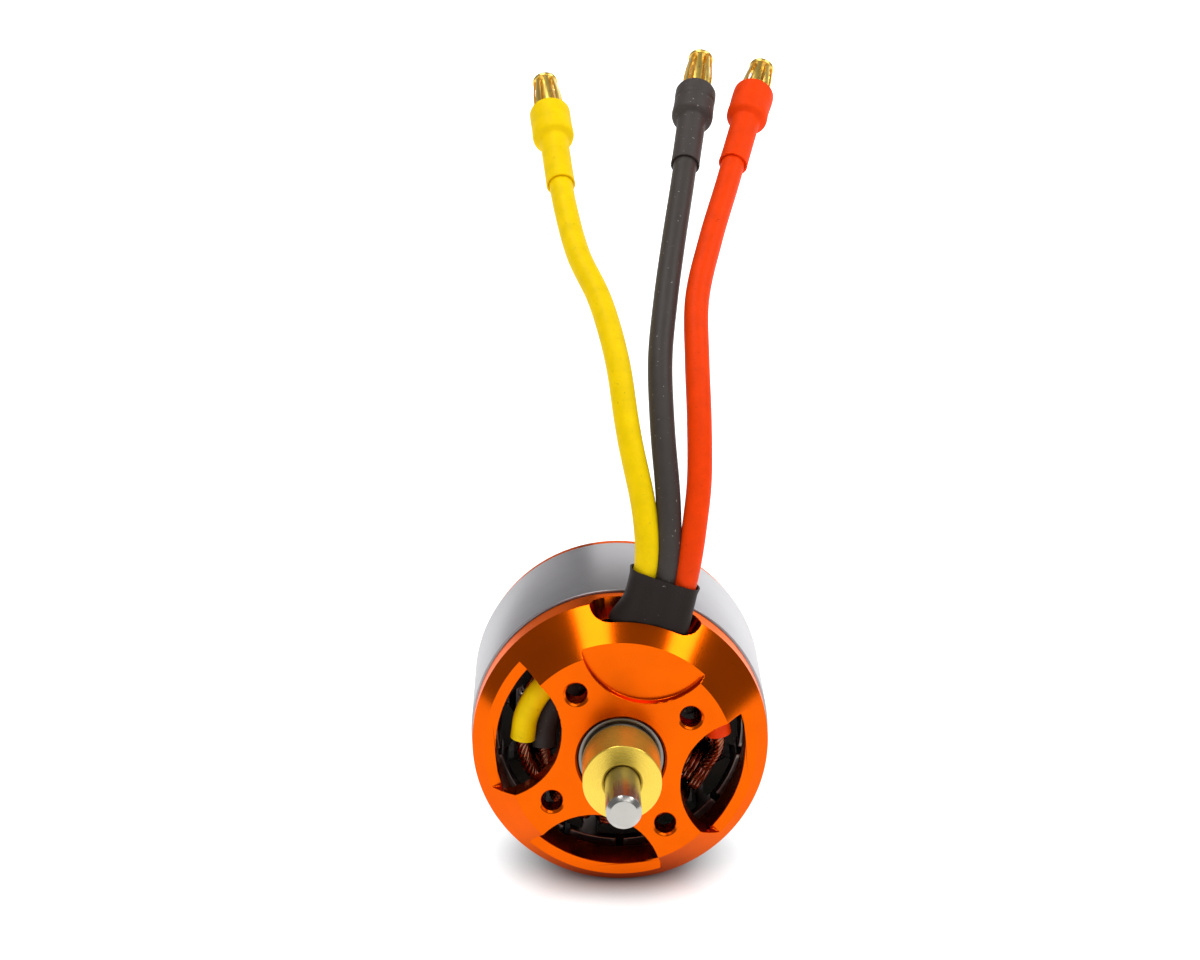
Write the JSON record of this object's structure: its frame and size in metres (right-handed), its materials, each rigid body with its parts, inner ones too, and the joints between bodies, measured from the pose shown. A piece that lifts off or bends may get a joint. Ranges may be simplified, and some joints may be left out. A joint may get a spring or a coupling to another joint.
{
  "type": "brushless outrunner motor",
  "caption": "Small brushless outrunner motor: fixed base with wound stator, spinning outer can on a through shaft, and short flexible leads with bullet plugs.",
  "frame": {"origin": "centre of the mounting face, on the motor axis", "axes": "+Y along the motor axis from the mounting face towards the rotor bell, +Z on the side where the leads leave, +X completes the right-handed frame"},
  "size_m": [0.0377, 0.0766, 0.0906],
  "materials": {
    "orange_aluminium": "turned and milled, bright orange anodised, satin",
    "can_steel": "fine turned steel, satin grey plating",
    "magnet_nickel": "nickel-plated sintered magnet, dull",
    "copper_wire": "enamelled copper wire",
    "lamination_steel": "stacked thin sheets, dull edges",
    "slot_insulation": "thin moulded insulation",
    "cage_brass": "plain",
    "bright_steel": "ground and polished",
    "collar_brass": "satin turned brass",
    "black_steel": "black oxide",
    "gold_plate": "bright gold plating",
    "black_shrink": "matt heat-shrink tubing",
    "yellow_silicone": "satin silicone insulation",
    "black_silicone": "satin silicone insulation",
    "red_silicone": "satin silicone insulation",
    "yellow_shrink": "matt heat-shrink tubing",
    "red_shrink": "matt heat-shrink tubing"
  },
  "bodies": {
    "base": {"boot_black": "black_shrink", "boot_red": "red_shrink", "boot_yellow": "yellow_shrink", "bullet_black": "gold_plate", "bullet_red": "gold_plate", "bullet_yellow": "gold_plate", "coil_01": "copper_wire", "coil_02": "copper_wire", "coil_03": "copper_wire", "coil_04": "copper_wire", "coil_05": "copper_wire", "coil_06": "copper_wire", "coil_07": "copper_wire", "coil_08": "copper_wire", "coil_09": "copper_wire", "coil_10": "copper_wire", "coil_11": "copper_wire", "coil_12": "copper_wire", "front_bearing_outer_ring": "bright_steel", "lead_black": "black_silicone", "lead_red": "red_silicone", "lead_sleeve": "black_shrink", "lead_yellow": "yellow_silicone", "mount_base": "orange_aluminium", "rear_bearing_outer_ring": "bright_steel", "stator_core": "lamination_steel", "stator_insulator_front": "slot_insulation", "stator_insulator_rear": "slot_insulation", "winding_tail_black": "copper_wire", "winding_tail_red": "copper_wire", "winding_tail_yellow": "copper_wire"},
    "rotor": {"bell_set_screw_1": "black_steel", "bell_set_screw_2": "black_steel", "collar_set_screw": "black_steel", "front_bearing_inner_ring": "bright_steel", "magnet_01": "magnet_nickel", "magnet_02": "magnet_nickel", "magnet_03": "magnet_nickel", "magnet_04": "magnet_nickel", "magnet_05": "magnet_nickel", "magnet_06": "magnet_nickel", "magnet_07": "magnet_nickel", "magnet_08": "magnet_nickel", "magnet_09": "magnet_nickel", "magnet_10": "magnet_nickel", "magnet_11": "magnet_nickel", "magnet_12": "magnet_nickel", "magnet_13": "magnet_nickel", "magnet_14": "magnet_nickel", "rear_bearing_inner_ring": "bright_steel", "rotor_bell": "orange_aluminium", "rotor_can": "can_steel", "shaft": "bright_steel", "shaft_collar": "collar_brass", "shaft_spacer": "bright_steel"},
    "front_cage": {"front_bearing_ball_cage": "cage_brass"},
    "rear_cage": {"rear_bearing_ball_cage": "cage_brass"}
  },
  "joints": [
    {"name": "rotor_spin", "type": "hinge", "parent": "base", "child": "rotor", "pos_m": [0, 0.0124, 0], "axis": [0, 1, 0], "continuous": true},
    {"name": "front_cage_spin", "type": "hinge", "parent": "base", "child": "front_cage", "pos_m": [0, 0.0024, 0], "axis": [0, 1, 0], "continuous": true},
    {"name": "rear_cage_spin", "type": "hinge", "parent": "base", "child": "rear_cage", "pos_m": [0, 0.0224, 0], "axis": [0, 1, 0], "continuous": true}
  ],
  "couplings": [
    {"joint": "front_cage_spin", "follows": "rotor_spin", "ratio": 0.4014},
    {"joint": "rear_cage_spin", "follows": "rotor_spin", "ratio": 0.4014}
  ]
}
